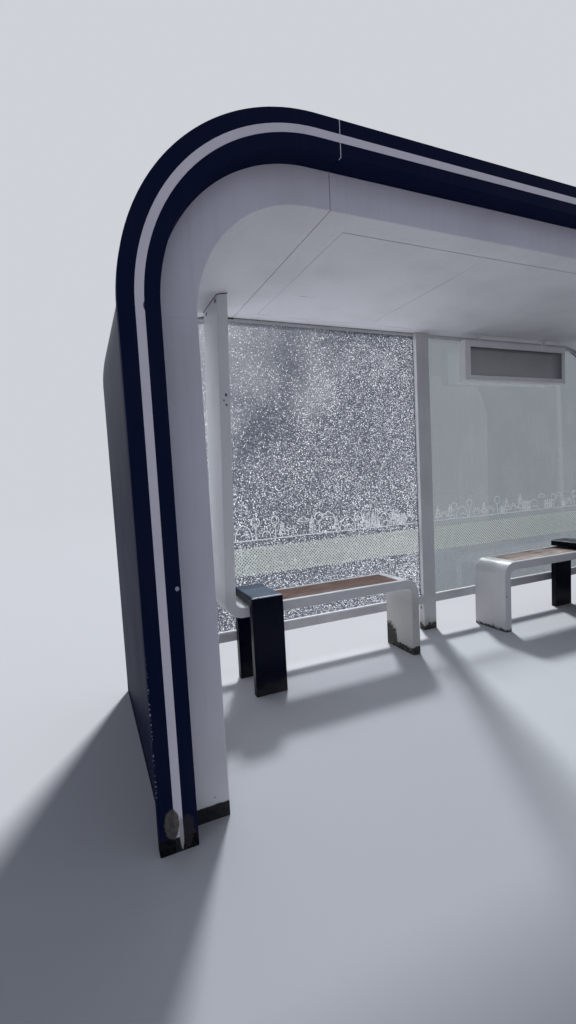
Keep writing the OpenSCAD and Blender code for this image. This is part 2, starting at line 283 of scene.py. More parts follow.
# %% [markdown]
# ## Finishes
# Each finish below is mixed from the same few things that age a shelter: dust that the wind brings, rain
# that draws it down in streaks, splashes over the foot, and knocks that take the paint off. They could be
# painted on by hand, but a noise that knows where a point is does it without any picture, and the same on
# every run.

# %% What ages a surface
def foot_dirt(tree, top, rough=14.0):
    """1 at the floor, fading out towards the height top along a ragged line."""
    height = plus(tree, axis(tree, "Z"), times(tree, cloud(tree, rough, 5.0), top))
    return inverse(tree, ramp(tree, height, top * 0.55, top * 1.35))


def rain_streaks(tree, amount):
    """Thin upright streaks of dust, from 0 to amount."""
    streaks = ramp(tree, cloud(tree, 9.0, 4.0, (4.0, 4.0, 0.22)), 0.52, 0.75)
    return times(tree, streaks, amount)


def smudges(tree, amount, scale=2.3):
    """Broad, faint patches, from 0 to amount."""
    return times(tree, ramp(tree, cloud(tree, scale, 5.0), 0.45, 0.72), amount)


def near(tree, centre, reach, ragged=0.7):
    """1 at a point of the object and 0 outside an ellipsoid round it, with a ragged edge."""
    away = node(tree, "ShaderNodeVectorMath", {"operation": "SUBTRACT"}, {0: spot(tree), 1: centre})
    scaled = node(tree, "ShaderNodeVectorMath", {"operation": "DIVIDE"}, {0: away.outputs[0], 1: reach})
    length = node(tree, "ShaderNodeVectorMath", {"operation": "LENGTH"}, {0: scaled.outputs[0]})
    edge = plus(tree, length.outputs["Value"], times(tree, cloud(tree, 55.0, 6.0), ragged))
    return inverse(tree, ramp(tree, edge, 0.9 + ragged / 2, 1.05 + ragged / 2))


def all_near(tree, places, ragged=0.7):
    """The same for several places at once, each a centre and a reach."""
    return most(tree, *[near(tree, centre, reach, ragged) for centre, reach in places])


# %% [markdown]
# ### Mortar and damp at the feet, and painted shade
# The lowest hand's breadth of the fascia, the stripe and the linings is painted near black with a rough
# texture: painted shade for the dark gap under the cladding. The legs were set in wet mortar, and on the
# near leg it left a brown smear on the fascia and a pale drip on the stripe. These are places on the
# object, so each is an ellipsoid with a ragged edge, given by its centre and its reach.

# %% Mortar
LEG_FRONT = cad_box[0][1]
FOOT_SHADE_DARK, FOOT_SHADE_LIGHT = (0.0030, 0.0034, 0.0052), (0.0150, 0.0150, 0.0180)
MORTAR_DARK, MORTAR_LIGHT = (0.070, 0.063, 0.060), (0.108, 0.097, 0.091)
SPLASH_BROWN = (0.042, 0.037, 0.036)
DRIP_PALE = (0.34, 0.34, 0.345)
NEAR_LEG_SHADE_BAND = 0.062
SMEAR = ((-2.5255, LEG_FRONT, 0.119), (0.029, 0.03, 0.060))
DRIP = ((-2.4915, LEG_FRONT, 0.075), (0.0085, 0.02, 0.066))
SPLASH = ((-2.470, LEG_FRONT, 0.075), (0.030, 0.02, 0.062))


def shaded_foot_band(tree, colour, height):
    """The lowest strip of a leg, painted near black with a rough texture: painted shade for the gap under the
    cladding.
    """
    line = plus(tree, axis(tree, "Z"), times(tree, cloud(tree, 24.0, 6.0), 12 * MM))
    low = inverse(tree, ramp(tree, line, height + 4 * MM, height + 8 * MM))
    # Painted shade: these near-black colours stand for the shadowed gap under the cladding.
    crust = mixed(tree, ramp(tree, cloud(tree, 40.0, 6.0), 0.35, 0.65), FOOT_SHADE_DARK, FOOT_SHADE_LIGHT)
    return mixed(tree, low, colour, crust), low


def mortar(tree, colour):
    """Painted shade along the foot, a near-black band for the gap under the cladding, and mortar on the near
    leg: a brown hand-wide smear, and a pale drip that ran down the stripe.
    """
    colour, low = shaded_foot_band(tree, colour, NEAR_LEG_SHADE_BAND)
    patch = near(tree, *SMEAR, 0.6)
    drip = near(tree, *DRIP, 0.35)
    splash = near(tree, *SPLASH, 1.6)
    brown = mixed(tree, ramp(tree, cloud(tree, 60.0, 5.0), 0.35, 0.65), MORTAR_DARK, MORTAR_LIGHT)
    colour = mixed(tree, times(tree, splash, 0.6), colour, SPLASH_BROWN)
    colour = mixed(tree, patch, colour, brown)
    colour = mixed(tree, drip, colour, DRIP_PALE)
    return colour, most(tree, patch, drip, low)


print("mortar up to", round(SMEAR[0][2] + SMEAR[1][2], 3), "m on the near leg")

# %% [markdown]
# ### Navy paint
# The fascia and the outer skins are aluminium composite sheet in a gloss navy that is almost black in the
# shade. The sheet is never quite flat, so a slow wave runs through its reflection. Dust greys it, the
# edge of the near leg has lost flecks of paint, and splashes and mortar mark the fascia's foot, whose
# lowest strip is painted near black: painted shade for the gap under the cladding. Grazing light would
# turn every fold and every face that looks up, down or aside into a pale line that the real one doesn't
# have. The dust that lies there takes the shine off, so the roughness goes up on those faces. The end
# walls get duller towards the floor, where more dust and splashes reach them.

# %% Navy paint
NAVY = (0.0061, 0.0090, 0.0320)
DUST = (0.060, 0.064, 0.080)
SPLASHED = (0.035, 0.033, 0.034)
BARE_CHIP = (0.27, 0.31, 0.40)
LONE_CHIP = ((-2.443, LEG_FRONT, 1.0195), (0.008, 0.02, 0.009))


def worn_edge(tree):
    """Flecks of lost paint down the outer edge of the near leg, from the shin to the hip."""
    corner = cad_box[0][0] + cad_box[0][1]
    across = plus(tree, axis(tree, "X"), axis(tree, "Y"))
    edge = inverse(tree, ramp(tree, across, corner + 3 * MM, corner + 6 * MM))
    over_shin = ramp(tree, axis(tree, "Z"), 0.20, 0.30)
    under_hip = inverse(tree, ramp(tree, axis(tree, "Z"), 0.62, 0.80))
    flecks = ramp(tree, cloud(tree, 110.0, 3.0), 0.58, 0.61)
    return times(tree, edge, times(tree, over_shin, under_hip), flecks)


def navy_paint(name, roughness, dust, gloss=0.06, worn_leg=False, duller_below=0.0, fold=0.0):
    """fold is how rough the faces are that look aside, and duller_below is how much the lower wall adds."""
    made, tree, shader = finish(name, NAVY, roughness, gloss)
    grime = plus(tree, rain_streaks(tree, dust), smudges(tree, dust))
    foot = foot_dirt(tree, 0.11)
    colour = mixed(tree, grime, NAVY, DUST)
    colour = mixed(tree, times(tree, foot, 0.5), colour, SPLASHED)
    tilted = most(tree, facing_up(tree, 0.1, 0.7), facing_up(tree, -0.1, -0.6))
    sideways = most(tree, facing(tree, "X", 0.04, 0.15), facing(tree, "X", -0.04, -0.15))
    rough = plus(tree, roughness, times(tree, most(tree, grime, foot), 0.6))
    rough = most(tree, rough, times(tree, tilted, 0.75), times(tree, sideways, fold))
    rough = plus(tree, rough, times(tree, ramp(tree, axis(tree, "Z"), 2.3, 1.3), duller_below))
    if worn_leg:
        chips = most(tree, worn_edge(tree), near(tree, *LONE_CHIP, 0.9))
        colour = mixed(tree, chips, colour, BARE_CHIP)
        colour, patch = mortar(tree, colour)
        rough = most(tree, rough, patch)
    join(tree, colour, shader.inputs["Base Color"])
    join(tree, rough, shader.inputs["Roughness"])
    relief(tree, shader, cloud(tree, 2.2, 1.0), 6 * MM, 0.5)
    return made


finishes = {
    "fascia": navy_paint("navy_gloss", 0.20, 0.035, gloss=0.012, worn_leg=True, fold=0.55),
    "outer_skin": navy_paint("navy_skin", 0.27, 0.06, gloss=0.005, duller_below=0.13),
    "back_panel": navy_paint("navy_back", 0.22, 0.08, gloss=0.05),
}
tell(*finishes.values())

# %% [markdown]
# ### Pale paint
# The linings, the stripes, the posts and the benches are all a cool white, and differ in gloss and in how
# they are used. The linings get faint smudges and streaks, with a scrape or two, and their faces that look
# out of the shelter are painted a bluer white, a painted reflection of the sky. The stripe has a small dark
# notch where the sheets of leg and corner meet. One function makes them all, so that they age alike, and
# what differs is a value in its call.

# %% Pale paint
RUST = (0.036, 0.022, 0.016)
SOOT = (0.018, 0.018, 0.018)
SOILED = 0.62
CEILING_SCRAPE = ((-1.3050, 0.2375, 2.553), (0.080, 0.006, 0.010), 0.20)
CEILING_KNOCK = ((-1.3400, 0.2375, 2.553), (0.026, 0.005, 0.010), 0.35)
LEG_NICK = ((-2.3310, -0.698, 0.0975), (0.006, 0.01, 0.003), 0.6)
STRIPE_NOTCH = ((-2.4825, LEG_FRONT, 2.043), (0.0062, 0.02, 0.017), 1.0)


def pale_paint(name, colour, roughness, soil=0.25, foot=0.05, wave=4 * MM, gloss=0.3, foot_shade_height=0.0,
               marks=(), mortared=False, front=None):
    """White or grey paint that has stood outside. The argument after gloss is the height of a near-black band
    at the foot, painted shade for the gap under the cladding, and marks are small knocks and scrapes, each a
    centre, a reach and how dark it is. front is a bluer colour for what looks out of the shelter, more so
    higher up: a painted reflection of the sky's blue."""
    made, tree, shader = finish(name, colour, roughness, gloss)
    grime = plus(tree, rain_streaks(tree, soil * 0.5), smudges(tree, soil))
    sky_tinted_colour = colour
    if front:
        # Painted reflection: faces that look out of the shelter turn bluer, more so higher up, for the sky's
        # blue on them.
        cool = times(tree, facing(tree, "Y", -0.5, -0.9), ramp(tree, axis(tree, "Z"), 0.0, 1.0))
        sky_tinted_colour = mixed(tree, cool, colour, front)
    mix = mixed(tree, grime, sky_tinted_colour, tuple(SOILED * part for part in colour))
    low = foot_dirt(tree, foot)
    mix = mixed(tree, times(tree, low, 0.35 if foot_shade_height or mortared else 0.9), mix, SOOT)
    for centre, reach, dark in marks:
        mix = mixed(tree, times(tree, near(tree, centre, reach, 0.5), dark), mix, SOOT)
    if mortared:
        mix, low = mortar(tree, mix)
    elif foot_shade_height:
        mix, low = shaded_foot_band(tree, mix, foot_shade_height)
    join(tree, mix, shader.inputs["Base Color"])
    join(tree, plus(tree, roughness, times(tree, plus(tree, grime, low), 0.4)), shader.inputs["Roughness"])
    peel = plus(tree, cloud(tree, 2.0, 1.0), times(tree, cloud(tree, 420.0, 1.0), 0.012))
    relief(tree, shader, peel, wave, 0.5)
    return made


finishes["stripe"] = pale_paint(
    "pale_stripe", (0.58, 0.562, 0.64), 0.35, soil=0.25, foot=0.12, marks=[STRIPE_NOTCH], mortared=True)
finishes["lining"] = pale_paint(
    "white_lining", (0.515, 0.515, 0.55), 0.36, soil=0.28, foot=0.10, foot_shade_height=0.066,
    marks=[CEILING_SCRAPE, CEILING_KNOCK, LEG_NICK], front=(0.52, 0.511, 0.60))
finishes["sign_case"] = pale_paint("sign_grey", (0.55, 0.555, 0.57), 0.4, soil=0.25, foot=0.1 * MM)
tell(finishes["stripe"], finishes["lining"], finishes["sign_case"])

# %% [markdown]
# ### Steel that rusts, and benches that chip
# The post and the rails are the same paint on steel. They rust at the foot and draw damp up from the
# floor. The benches are glossier. They lose paint in small chips, most of them low down, and have dark
# stains where the left foot meets the floor, and that foot is greyer up to about half a metre. Their fins
# are painted whiter above the seat: painted light, for the brighter light that falls on them. Both
# finishes start from the pale paint and lay their own wear over its colour, and the benches painted light
# too.

# %% Rusty steel
DAMP = (0.06, 0.054, 0.052)
POST_HOLE_SHADE = ((-0.067, 0.752, 0.193), (0.006, 0.009, 0.011))


def pale_colour(made):
    """The tree, the shader and the colour that a pale paint ends in, to lay more wear, and on the benches
    painted light, over it.
    """
    shader = made.node_tree.nodes["Principled BSDF"]
    return made.node_tree, shader, shader.inputs["Base Color"].links[0].from_socket


def rusty_steel(name, colour, roughness):
    made = pale_paint(name, colour, roughness, soil=0.3, foot=0.03)
    tree, shader, before = pale_colour(made)
    edge = plus(tree, axis(tree, "Z"), times(tree, cloud(tree, 22.0, 6.0), 0.12))
    rust = inverse(tree, ramp(tree, edge, 0.105, 0.122))
    damp = foot_dirt(tree, 0.15, 18.0)
    colour = mixed(tree, times(tree, damp, 0.6), before, DAMP)
    # Painted shade: a dark spot where a small hole in the post is dark inside.
    colour = mixed(tree, near(tree, *POST_HOLE_SHADE, 0.4), colour, SOOT)
    crust = mixed(tree, cloud(tree, 60.0), RUST, SOOT)
    join(tree, mixed(tree, rust, colour, crust), shader.inputs["Base Color"])
    return made


finishes["frame_steel"] = rusty_steel("grey_steel", (0.455, 0.455, 0.475), 0.4)
tell(finishes["frame_steel"])

# %% Bench paint
FIN_PAINTED_LIGHT = (0.61, 0.62, 0.635)
FOOT_GREY = (0.255, 0.256, 0.252)
STAINED = (0.013, 0.0145, 0.010)
CHIPPED = (0.060, 0.062, 0.064)
FOOT_STAINS = [
    ((-0.515, 0.595, 0.05), (0.035, 0.098, 0.140)),
    ((-0.53, 0.45, 0.01), (0.05, 0.16, 0.045)),
    ((-0.48, 0.29, 0.01), (0.06, 0.09, 0.060)),
]
FIN_CHIPS = [
    ((-1.871, 0.2995, 1.934), (0.008, 0.006, 0.010)),
    ((-1.886, 0.2995, 1.900), (0.005, 0.006, 0.006)),
    ((-1.872, 0.2995, 1.873), (0.007, 0.006, 0.007)),
    ((-1.893, 0.560, 2.500), (0.007, 0.024, 0.011)),
    ((-1.893, 0.340, 2.508), (0.007, 0.024, 0.013)),
]


def bench_paint(name, colour, roughness):
    """Gloss white on the benches, chipped, with stains where the feet meet the floor."""
    made = pale_paint(name, colour, roughness, soil=0.22, foot=0.030, wave=2 * MM, gloss=0.09)
    tree, shader, before = pale_colour(made)
    # Painted light: above the seat the ribbon turns whiter, for the brighter light that falls on the fins.
    over_seat = ramp(tree, axis(tree, "Z"), 0.64, 0.74)
    before = mixed(tree, times(tree, over_seat, 0.75), before, FIN_PAINTED_LIGHT)
    # The left foot is greyer from the floor up to 0.40 m, fading out by 0.56 m.
    left_foot = stretch_of(tree, "X", (-0.62, -0.60), (-0.42, -0.44))
    patch = times(tree, left_foot, ramp(tree, axis(tree, "Z"), 0.56, 0.40))
    before = mixed(tree, times(tree, patch, 0.62), before, FOOT_GREY)
    stain = all_near(tree, FOOT_STAINS)
    colour = mixed(tree, times(tree, stain, 0.95), before, STAINED)
    low_down = inverse(tree, ramp(tree, axis(tree, "Z"), 0.0, 0.060))
    chips = ramp(tree, plus(tree, cloud(tree, 38.0, 5.0), times(tree, low_down, 0.34)), 0.745, 0.765)
    chips = most(tree, chips, all_near(tree, FIN_CHIPS, 0.4))
    join(tree, mixed(tree, chips, colour, CHIPPED), shader.inputs["Base Color"])
    return made


finishes["bench_white"] = bench_paint("bench_gloss", (0.465, 0.47, 0.485), 0.38)
tell(finishes["bench_white"])

# %% [markdown]
# ### Seat wood
# The seats are varnished boards, red-brown where the varnish still holds and grey-pink where the weather
# has taken it off, most of all on the right one. A wave texture would give straight grain, but it
# repeats. So the grain is one noise drawn out along the board, and the worn patches are a second, broader
# one.

# %% Seat wood
VARNISH_LIGHT, VARNISH_DARK = (0.110, 0.038, 0.023), (0.036, 0.016, 0.012)
FADED_LIGHT, FADED_DARK = (0.200, 0.145, 0.122), (0.085, 0.050, 0.041)
BLEACHED_LIGHT, BLEACHED_DARK = (0.56, 0.50, 0.485), (0.25, 0.195, 0.182)
CRACKED = (0.03, 0.018, 0.012)


def seat_wood(name):
    made, tree, shader = finish(name, (0.13, 0.06, 0.035), 0.55, 0.05)
    grain = cloud(tree, 26.0, 6.0, (0.10, 1.0, 1.0))
    fibre = cloud(tree, 150.0, 3.0, (0.05, 1.0, 1.0))
    varnished = mixed(tree, ramp(tree, grain, 0.35, 0.65), VARNISH_LIGHT, VARNISH_DARK)
    bleached = stretch_of(tree, "X", (-0.2, 0.2), (1.42, 1.32))
    patches = plus(tree, cloud(tree, 4.5, 5.0, (0.9, 2.6, 1.0)), times(tree, bleached, 0.10))
    worn = ramp(tree, patches, 0.47, 0.56)
    faded = mixed(tree, ramp(tree, fibre, 0.4, 0.6), FADED_LIGHT, FADED_DARK)
    pale = mixed(tree, ramp(tree, fibre, 0.35, 0.6), BLEACHED_LIGHT, BLEACHED_DARK)
    colour = mixed(tree, times(tree, worn, 0.8), varnished, mixed(tree, bleached, faded, pale))
    cracks = ramp(tree, cloud(tree, 60.0, 2.0, (0.035, 1.0, 1.0), (3.0, 0.0, 0.0)), 0.66, 0.70)
    colour = mixed(tree, times(tree, cracks, 0.7), colour, CRACKED)
    join(tree, colour, shader.inputs["Base Color"])
    join(tree, plus(tree, 0.42, times(tree, worn, 0.4)), shader.inputs["Roughness"])
    relief(tree, shader, minus(tree, fibre, cracks), 0.8 * MM, 0.7)
    return made


finishes["seat_wood"] = seat_wood("weathered_board")
tell(finishes["seat_wood"])

# %% [markdown]
# ### The dark supports
# The supports under the seats carry the navy of the fascia, painted darker as shade. Their top plates turn
# steel blue, partly from dust and partly as a painted reflection of the sky, almost only on the left one;
# the right one, seen at a grazing angle, mirrors darker surroundings and stays dark. The front rim of the
# left plate carries a painted highlight, a pale line where the sun glints on its rounded edge. The rim is
# found by its place, a few millimetres behind the front edge and under the top, which is simpler than a
# bevel with a material of its own.

# %% Supports
SHADED_NAVY = (0.0024, 0.0036, 0.0115)
TOP_DARK, TOP_LIGHT = (0.012, 0.031, 0.058), (0.036, 0.067, 0.108)
PAINTED_GLINT = (0.52, 0.55, 0.60)
SPLASHED_FOOT = (0.030, 0.029, 0.028)


def support_paint(name):
    made, tree, shader = finish(name, NAVY, 0.3, 0.09)
    lowest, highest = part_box("bench_left_support")
    behind_rim = ramp(tree, axis(tree, "Y"), lowest.y + 4 * MM, lowest.y + 10 * MM)
    left_one = ramp(tree, axis(tree, "X"), 0.3, 0.0)
    # Dust and painted reflection: top faces turn steel blue, the blue standing for the sky they mirror,
    # mostly on the left.
    dust_and_sky_blue = times(tree, facing_up(tree), behind_rim, plus(tree, 0.05, times(tree, left_one, 0.95)))
    colour = mixed(tree, dust_and_sky_blue, SHADED_NAVY, mixed(tree, cloud(tree, 9.0, 5.0), TOP_DARK, TOP_LIGHT))
    under_top = ramp(tree, axis(tree, "Z"), highest.z - 8 * MM, highest.z - 5 * MM)
    at_rim = times(tree, inverse(tree, behind_rim), under_top)
    # Painted highlight: a pale line along the front rim of the left plate, where the sun glints.
    painted_rim_glint = times(tree, at_rim, left_one, ramp(tree, cloud(tree, 30.0), 0.24, 0.36))
    colour = mixed(tree, painted_rim_glint, colour, PAINTED_GLINT)
    splash = times(tree, foot_dirt(tree, 0.14), 0.7)
    join(tree, mixed(tree, splash, colour, SPLASHED_FOOT), shader.inputs["Base Color"])
    polished = plus(tree, 0.16, times(tree, behind_rim, 0.12))
    rough = most(tree, times(tree, dust_and_sky_blue, 0.62), times(tree, splash, 1.1), polished)
    join(tree, rough, shader.inputs["Roughness"])
    relief(tree, shader, times(tree, cloud(tree, 300.0, 2.0), behind_rim), 0.3 * MM, 0.4)
    return made


finishes["bench_dark"] = support_paint("support_navy")
tell(finishes["bench_dark"])

# %% [markdown]
# ### The screen and the seals
# The sign is plain grey sheet round a dark screen that is switched off, and a black sealant closes the
# joints under the ceiling. A bare dark plate would look painted on. What makes it a screen is the haze on
# it: dust that has slid down to its lower edge, and the shade of the case at its head and at one end.

# %% Screen and sealant
SCREEN_DARK, SCREEN_DUSTY = (0.168, 0.168, 0.177), (0.35, 0.355, 0.37)
IN_THE_SHADE = (0.022, 0.022, 0.026)
SEALANT_DARK, SEALANT_LIGHT = (0.005, 0.005, 0.006), (0.02, 0.02, 0.021)


def screen_glass(name):
    made, tree, shader = finish(name, (0.05, 0.05, 0.055), 0.12, 0.5)
    lowest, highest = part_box("sign_screen")
    dust = inverse(tree, ramp(tree, axis(tree, "Z"), lowest.z, highest.z))
    haze = times(tree, plus(tree, dust, cloud(tree, 5.0, 4.0)), 0.5)
    dark_end = ramp(tree, axis(tree, "X"), highest.x - 0.16, highest.x - 0.02)
    dark_head = ramp(tree, axis(tree, "Z"), highest.z - 0.035, highest.z - 0.004)
    shade = times(tree, most(tree, times(tree, dark_end, 0.7), dark_head), 0.85)
    colour = mixed(tree, haze, SCREEN_DARK, SCREEN_DUSTY)
    join(tree, mixed(tree, shade, colour, IN_THE_SHADE), shader.inputs["Base Color"])
    join(tree, ramp(tree, haze, -0.4, 1.4), shader.inputs["Roughness"])
    return made


def sealant_rubber(name):
    made, tree, shader = finish(name, (0.008, 0.008, 0.009), 0.6, 0.3)
    join(tree, mixed(tree, cloud(tree, 40.0), SEALANT_DARK, SEALANT_LIGHT), shader.inputs["Base Color"])
    relief(tree, shader, cloud(tree, 70.0, 3.0), 2 * MM)
    return made


finishes["sign_glass"] = screen_glass("sign_screen_glass")
rubber = sealant_rubber("black_sealant")
tell(finishes["sign_glass"], rubber)

# %% [markdown]
# ### Light through a pane
# A path tracer finds it hard to carry light through glass onto something else, and leaves bright specks.
# So light that is on its way to something else passes straight through a pane here, only a little dimmer,
# and the glass shader is kept for what is seen directly. Dirt, film and crumbs also scatter light from
# behind, as paper does.

# %% Light through a pane
BACKLIT = (0.9, 0.91, 0.93, 1.0)
GLASS_IOR = 1.45


def let_light_pass(made, tint, glow, scatter=0.0):
    """Shadow and bounce rays go through the pane as through clear air, tinted a little. Where glow is above
    0, light from behind also makes the surface itself shine. A pane that scatters does the same for the
    room: that share of the bounce rays sees it lit."""
    tree = made.node_tree
    shader, out = tree.nodes["Principled BSDF"], tree.nodes["Material Output"]
    lit = node(tree, "ShaderNodeBsdfTranslucent", None, {"Color": BACKLIT})
    solid = node(tree, "ShaderNodeMixShader", None, {0: glow, 1: shader.outputs[0], 2: lit.outputs[0]})
    path = node(tree, "ShaderNodeLightPath")
    passing = most(tree, path.outputs["Is Shadow Ray"], path.outputs["Is Diffuse Ray"])
    clear = node(tree, "ShaderNodeBsdfTransparent", None, {"Color": (*tint, 1.0)})
    if scatter:
        share = times(tree, path.outputs["Is Diffuse Ray"], scatter)
        clear = node(tree, "ShaderNodeMixShader", None, {0: share, 1: clear.outputs[0], 2: lit.outputs[0]})
    blend = node(tree, "ShaderNodeMixShader", None, {0: passing, 1: solid.outputs[0], 2: clear.outputs[0]})
    join(tree, blend.outputs[0], out.inputs["Surface"])


print("panes pass shadow and bounce rays, with an index of", GLASS_IOR)

# %% [markdown]
# ### The whole pane
# The right pane is whole, with a film of dust, streaks and dried drops. Perfectly clear glass would
# vanish in front of an empty room. Its dirt is what shows it, so every mark takes a little of the
# transmission away.

# %% Whole pane
PANE_DUST_A, PANE_DUST_B = (0.36, 0.39, 0.40), (0.34, 0.35, 0.36)
PANE_TINT = (0.88, 0.90, 0.90)


def clear_glass(name):
    made, tree, shader = finish(name, (0.93, 0.96, 0.96), 0.0, 0.5)
    shader.inputs["IOR"].default_value = GLASS_IOR
    marks = plus(tree, rain_streaks(tree, 0.12), smudges(tree, 0.08, 3.0))
    drops = times(tree, ramp(tree, cloud(tree, 90.0, 2.0), 0.66, 0.72), 0.18)
    dirt = plus(tree, marks, drops, 0.05)
    join(tree, inverse(tree, dirt), shader.inputs["Transmission Weight"])
    join(tree, mixed(tree, dirt, PANE_DUST_A, PANE_DUST_B), shader.inputs["Base Color"])
    let_light_pass(made, PANE_TINT, times(tree, dirt, 0.25))
    return made


finishes["glass"] = clear_glass("clear_pane")
tell(finishes["glass"])

# %% [markdown]
# ### The shattered pane
# The left pane is toughened glass that has broken but still hangs together: a net of cracks cuts it into
# crumbs about four millimetres wide, and each catches the light in its own way. Modelled crumbs would be
# hundreds of thousands of pieces. A cell noise gives both the net and one random value for each crumb
# instead. Few crumbs flash in the upper left and more towards the post and the floor, and a mist lies
# over the upper left.

# %% Shattered pane
CRUMBS_PER_METRE = 250.0
CRUMB_BEND = 8 * MM
CRUMB_DARK, CRUMB_LIGHT = (0.030, 0.044, 0.082), (0.30, 0.33, 0.40)
MIST = (0.46, 0.47, 0.50)
FLASH = (0.90, 0.94, 1.0)
CRAZED_TINT = (0.72, 0.73, 0.75)


def crumbs(tree):
    """1 in the cracks between the crumbs, and the three random numbers of each crumb."""
    warp = node(tree, "ShaderNodeTexNoise", None, {"Vector": spot(tree), "Scale": 30.0})
    bent = node(tree, "ShaderNodeVectorMath", {"operation": "MULTIPLY_ADD"},
                {0: warp.outputs["Color"], 1: (CRUMB_BEND, 0.0, CRUMB_BEND), 2: spot(tree)}).outputs[0]
    flat = node(tree, "ShaderNodeMapping", None, {0: bent, "Scale": (1.0, 0.0, 1.0)}).outputs[0]
    cells = {"Vector": flat, "Scale": CRUMBS_PER_METRE}
    crumb = node(tree, "ShaderNodeTexVoronoi", {"feature": "F1"}, cells)
    net = node(tree, "ShaderNodeTexVoronoi", {"feature": "DISTANCE_TO_EDGE"}, cells)
    crack = inverse(tree, ramp(tree, net.outputs["Distance"], 0.02, 0.14))
    return crack, node(tree, "ShaderNodeSeparateColor", None, {0: crumb.outputs["Color"]}).outputs


def crazed_glass(name):
    made, tree, shader = finish(name, (0.8, 0.8, 0.8), 0.15, 0.4)
    shader.inputs["IOR"].default_value = GLASS_IOR
    crack, luck = crumbs(tree)
    low = inverse(tree, ramp(tree, axis(tree, "Z"), 0.3, 2.3))
    to_the_post = ramp(tree, axis(tree, "X"), -2.2, -0.1)
    blots = minus(tree, cloud(tree, 2.2, 5.0), 0.5)
    dense = plus(tree, times(tree, low, 0.075), times(tree, to_the_post, 0.065), 0.022)
    bar = inverse(tree, plus(tree, dense, times(tree, blots, 0.15)))
    spark = ramp(tree, luck[0], bar, plus(tree, bar, 0.01))
    high_left = minus(tree, minus(tree, 1.15, low), times(tree, to_the_post, 0.8))
    mist = ramp(tree, plus(tree, high_left, times(tree, blots, 0.9)), 0.52, 1.15)
    veil = plus(tree, times(tree, luck[1], 0.45), times(tree, mist, 0.45), 0.25)
    clouded = most(tree, veil, times(tree, crack, 0.6), spark)
    clouded = reckon(tree, "MINIMUM", clouded, 1.0)
    grey = mixed(tree, luck[2], CRUMB_DARK, CRUMB_LIGHT)
    grey = mixed(tree, times(tree, mist, 0.75), grey, MIST)
    grey = mixed(tree, times(tree, crack, 0.22), grey, MIST)
    join(tree, mixed(tree, spark, grey, FLASH), shader.inputs["Base Color"])
    join(tree, inverse(tree, clouded), shader.inputs["Transmission Weight"])
    relief(tree, shader, plus(tree, luck[0], times(tree, crack, 0.5)), 3 * MM, 0.7)
    shine = times(tree, spark, plus(tree, 0.35, times(tree, luck[2], 0.65)))
    dull = plus(tree, times(tree, luck[1], 0.05), times(tree, mist, 0.11))
    let_light_pass(made, CRAZED_TINT, most(tree, shine, dull), 0.7)
    return made


finishes["shattered_glass"] = crazed_glass("crazed_pane")
tell(finishes["shattered_glass"])

# %% [markdown]
# ### Films on the glass
# Two frosted films are stuck on the front of the panes so that nobody walks into them: a pierced band at
# the height of the seats, and a line drawing over it. Both are pale and matt, and let some light through.
# A picture with transparent holes would be flat and would blur close up, so here is only their finish,
# and their holes and lines follow as real edges further down.

# %% Film
FILM_TINT = (0.55, 0.56, 0.54)


def window_film(name, colour, seethrough, glow):
    made, tree, shader = finish(name, colour, 0.7, 0.2)
    worn = times(tree, ramp(tree, cloud(tree, 14.0, 5.0), 0.55, 0.75), 0.35)
    join(tree, mixed(tree, worn, colour, tuple(0.7 * part for part in colour)), shader.inputs["Base Color"])
    join(tree, plus(tree, seethrough, worn), shader.inputs["Transmission Weight"])
    let_light_pass(made, FILM_TINT, glow)
    return made


band_film = window_film("pierced_film", (0.54, 0.585, 0.50), 0.06, 0.26)
line_film = window_film("drawn_film", (0.90, 0.92, 0.92), 0.05, 0.36)
tell(band_film, line_film)

# %% [markdown]
# ### The finishes go on the model
# Every node of the model carries a bare material that is named for its slot. It could be recoloured, but
# a finish is a tree of nodes, so the whole material is exchanged, slot by slot.

# %% Finishes on the nodes
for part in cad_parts.values():
    slot = part.data.materials[0].name.split(".")[0]
    part.data.materials[0] = finishes[slot]
print(len(finishes), "finishes on", len(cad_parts), "nodes")

# %% [markdown]
# ## Pieces in mesh code
# Real folded sheet, welded tube and cast feet have no knife edges, and it is their small rounded edges
# that catch the light. A piece that needs them is drawn again here, exactly where its CAD node stands,
# and replaces it. Flat sheets, tubes and panes whose edges can't be seen keep their CAD shape and only
# take the finish.

# %% From loose faces to a finished piece
SAME_POINT = 1e-6
SHARP = math.radians(40)


def piece(name, bm, slot, replaced=()):
    """Turns a bmesh into an object with soft shading over its small edges, hung on the shelter's body."""
    bmesh.ops.remove_doubles(bm, verts=bm.verts, dist=SAME_POINT)
    bmesh.ops.recalc_face_normals(bm, faces=bm.faces)
    mesh = bpy.data.meshes.new(name)
    bm.to_mesh(mesh)
    bm.free()
    made = bpy.data.objects.new(name, mesh)
    bpy.context.scene.collection.objects.link(made)
    mesh.materials.append(finishes[slot])
    mesh.polygons.foreach_set("use_smooth", [True] * len(mesh.polygons))
    mesh.set_sharp_from_angle(angle=SHARP)
    weighted = made.modifiers.new("flat faces stay flat", "WEIGHTED_NORMAL")
    weighted.keep_sharp = True
    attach(made, "root")
    if replaced:
        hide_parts(*replaced)
    return made


